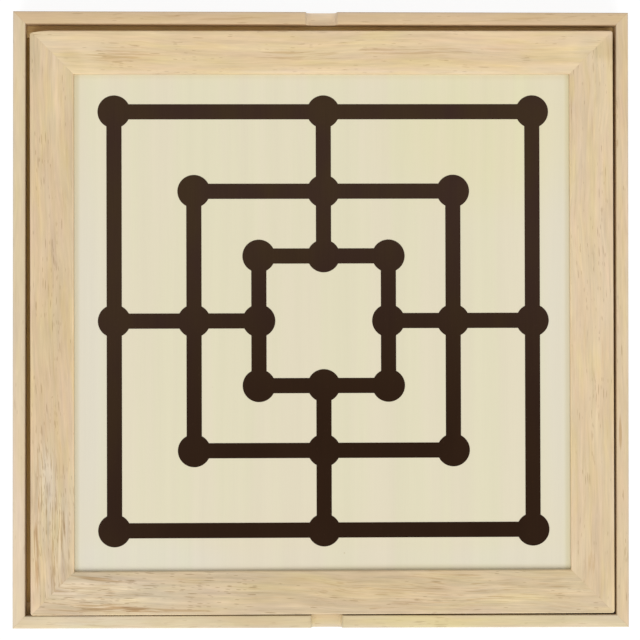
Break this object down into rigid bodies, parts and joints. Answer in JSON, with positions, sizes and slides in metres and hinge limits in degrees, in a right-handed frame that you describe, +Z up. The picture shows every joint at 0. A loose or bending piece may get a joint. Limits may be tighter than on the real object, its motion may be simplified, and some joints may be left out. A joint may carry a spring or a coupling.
{
  "type": "multi-game board",
  "caption": "Square wooden game set: a mitre-framed, reversible mill and draughts board lifts out of a shallow box with finger notches, over channels that hold the turned men.",
  "frame": {"origin": "centre of the box's underside, on the surface that the box stands on", "axes": "+Z up, +X to the right and +Y to the back of the board as the picture shows it from above"},
  "size_m": [0.3, 0.3, 0.032],
  "materials": {
    "wall_wood": "satin clear lacquer, straight grain along each wall",
    "floor_ply": "sanded plywood, unlacquered",
    "ledge_wood": "planed brown hardwood strip, unlacquered",
    "rail_wood": "satin clear lacquer, open pores and grain along each rail",
    "key_wood": "raw compressed beech",
    "panel_ply": "pale veneered plywood, matt lacquer",
    "print_ink": "dark brown screen-printed ink",
    "light_wood": "turned maple, satin lacquer",
    "dark_wood": "turned hardwood, dark brown stain and satin lacquer"
  },
  "bodies": {
    "box": {"wall_front": "wall_wood", "wall_right": "wall_wood", "wall_back": "wall_wood", "wall_left": "wall_wood", "floor_panel": "floor_ply", "ledge_front": "ledge_wood", "ledge_right": "ledge_wood", "ledge_back": "ledge_wood", "ledge_left": "ledge_wood", "divider_left": "ledge_wood", "divider_right": "ledge_wood"},
    "board": {"rail_front": "rail_wood", "rail_right": "rail_wood", "rail_back": "rail_wood", "rail_left": "rail_wood", "corner_key_front_left": "key_wood", "corner_key_front_right": "key_wood", "corner_key_back_right": "key_wood", "corner_key_back_left": "key_wood", "play_panel": "panel_ply", "mill_print": "print_ink", "draughts_print": "print_ink"},
    "light_man_01": {"light_man_01": "light_wood"},
    "light_man_02": {"light_man_02": "light_wood"},
    "light_man_03": {"light_man_03": "light_wood"},
    "light_man_04": {"light_man_04": "light_wood"},
    "light_man_05": {"light_man_05": "light_wood"},
    "light_man_06": {"light_man_06": "light_wood"},
    "light_man_07": {"light_man_07": "light_wood"},
    "light_man_08": {"light_man_08": "light_wood"},
    "light_man_09": {"light_man_09": "light_wood"},
    "light_man_10": {"light_man_10": "light_wood"},
    "light_man_11": {"light_man_11": "light_wood"},
    "light_man_12": {"light_man_12": "light_wood"},
    "dark_man_01": {"dark_man_01": "dark_wood"},
    "dark_man_02": {"dark_man_02": "dark_wood"},
    "dark_man_03": {"dark_man_03": "dark_wood"},
    "dark_man_04": {"dark_man_04": "dark_wood"},
    "dark_man_05": {"dark_man_05": "dark_wood"},
    "dark_man_06": {"dark_man_06": "dark_wood"},
    "dark_man_07": {"dark_man_07": "dark_wood"},
    "dark_man_08": {"dark_man_08": "dark_wood"},
    "dark_man_09": {"dark_man_09": "dark_wood"},
    "dark_man_10": {"dark_man_10": "dark_wood"},
    "dark_man_11": {"dark_man_11": "dark_wood"},
    "dark_man_12": {"dark_man_12": "dark_wood"}
  },
  "joints": [
    {"name": "board_lift", "type": "slide", "parent": "box", "child": "board", "axis": [0, 0, 1], "range_m": [0, 0.12]},
    {"name": "light_man_01_slide", "type": "slide", "parent": "box", "child": "light_man_01", "axis": [0, 1, 0], "range_m": [0, 0.0097]},
    {"name": "light_man_02_slide", "type": "slide", "parent": "box", "child": "light_man_02", "axis": [0, 1, 0], "range_m": [0, 0.0097]},
    {"name": "light_man_03_slide", "type": "slide", "parent": "box", "child": "light_man_03", "axis": [0, 1, 0], "range_m": [0, 0.0097]},
    {"name": "light_man_04_slide", "type": "slide", "parent": "box", "child": "light_man_04", "axis": [0, 1, 0], "range_m": [0, 0.0097]},
    {"name": "light_man_05_slide", "type": "slide", "parent": "box", "child": "light_man_05", "axis": [0, 1, 0], "range_m": [0, 0.0097]},
    {"name": "light_man_06_slide", "type": "slide", "parent": "box", "child": "light_man_06", "axis": [0, 1, 0], "range_m": [0, 0.0097]},
    {"name": "light_man_07_slide", "type": "slide", "parent": "box", "child": "light_man_07", "axis": [0, 1, 0], "range_m": [0, 0.0097]},
    {"name": "light_man_08_slide", "type": "slide", "parent": "box", "child": "light_man_08", "axis": [0, 1, 0], "range_m": [0, 0.0097]},
    {"name": "light_man_09_slide", "type": "slide", "parent": "box", "child": "light_man_09", "axis": [0, 1, 0], "range_m": [0, 0.0097]},
    {"name": "light_man_10_slide", "type": "slide", "parent": "box", "child": "light_man_10", "axis": [0, 1, 0], "range_m": [0, 0.0097]},
    {"name": "light_man_11_slide", "type": "slide", "parent": "box", "child": "light_man_11", "axis": [0, 1, 0], "range_m": [0, 0.0097]},
    {"name": "light_man_12_slide", "type": "slide", "parent": "box", "child": "light_man_12", "axis": [0, 1, 0], "range_m": [0, 0.0097]},
    {"name": "dark_man_01_slide", "type": "slide", "parent": "box", "child": "dark_man_01", "axis": [0, 1, 0], "range_m": [0, 0.0097]},
    {"name": "dark_man_02_slide", "type": "slide", "parent": "box", "child": "dark_man_02", "axis": [0, 1, 0], "range_m": [0, 0.0097]},
    {"name": "dark_man_03_slide", "type": "slide", "parent": "box", "child": "dark_man_03", "axis": [0, 1, 0], "range_m": [0, 0.0097]},
    {"name": "dark_man_04_slide", "type": "slide", "parent": "box", "child": "dark_man_04", "axis": [0, 1, 0], "range_m": [0, 0.0097]},
    {"name": "dark_man_05_slide", "type": "slide", "parent": "box", "child": "dark_man_05", "axis": [0, 1, 0], "range_m": [0, 0.0097]},
    {"name": "dark_man_06_slide", "type": "slide", "parent": "box", "child": "dark_man_06", "axis": [0, 1, 0], "range_m": [0, 0.0097]},
    {"name": "dark_man_07_slide", "type": "slide", "parent": "box", "child": "dark_man_07", "axis": [0, 1, 0], "range_m": [0, 0.0097]},
    {"name": "dark_man_08_slide", "type": "slide", "parent": "box", "child": "dark_man_08", "axis": [0, 1, 0], "range_m": [0, 0.0097]},
    {"name": "dark_man_09_slide", "type": "slide", "parent": "box", "child": "dark_man_09", "axis": [0, 1, 0], "range_m": [0, 0.0097]},
    {"name": "dark_man_10_slide", "type": "slide", "parent": "box", "child": "dark_man_10", "axis": [0, 1, 0], "range_m": [0, 0.0097]},
    {"name": "dark_man_11_slide", "type": "slide", "parent": "box", "child": "dark_man_11", "axis": [0, 1, 0], "range_m": [0, 0.0097]},
    {"name": "dark_man_12_slide", "type": "slide", "parent": "box", "child": "dark_man_12", "axis": [0, 1, 0], "range_m": [0, 0.0097]}
  ],
  "couplings": [
    {"joint": "light_man_02_slide", "follows": "light_man_01_slide", "ratio": 1},
    {"joint": "light_man_03_slide", "follows": "light_man_01_slide", "ratio": 1},
    {"joint": "light_man_04_slide", "follows": "light_man_01_slide", "ratio": 1},
    {"joint": "light_man_05_slide", "follows": "light_man_01_slide", "ratio": 1},
    {"joint": "light_man_06_slide", "follows": "light_man_01_slide", "ratio": 1},
    {"joint": "light_man_07_slide", "follows": "light_man_01_slide", "ratio": 1},
    {"joint": "light_man_08_slide", "follows": "light_man_01_slide", "ratio": 1},
    {"joint": "light_man_09_slide", "follows": "light_man_01_slide", "ratio": 1},
    {"joint": "light_man_10_slide", "follows": "light_man_01_slide", "ratio": 1},
    {"joint": "light_man_11_slide", "follows": "light_man_01_slide", "ratio": 1},
    {"joint": "light_man_12_slide", "follows": "light_man_01_slide", "ratio": 1},
    {"joint": "dark_man_02_slide", "follows": "dark_man_01_slide", "ratio": 1},
    {"joint": "dark_man_03_slide", "follows": "dark_man_01_slide", "ratio": 1},
    {"joint": "dark_man_04_slide", "follows": "dark_man_01_slide", "ratio": 1},
    {"joint": "dark_man_05_slide", "follows": "dark_man_01_slide", "ratio": 1},
    {"joint": "dark_man_06_slide", "follows": "dark_man_01_slide", "ratio": 1},
    {"joint": "dark_man_07_slide", "follows": "dark_man_01_slide", "ratio": 1},
    {"joint": "dark_man_08_slide", "follows": "dark_man_01_slide", "ratio": 1},
    {"joint": "dark_man_09_slide", "follows": "dark_man_01_slide", "ratio": 1},
    {"joint": "dark_man_10_slide", "follows": "dark_man_01_slide", "ratio": 1},
    {"joint": "dark_man_11_slide", "follows": "dark_man_01_slide", "ratio": 1},
    {"joint": "dark_man_12_slide", "follows": "dark_man_01_slide", "ratio": 1}
  ]
}
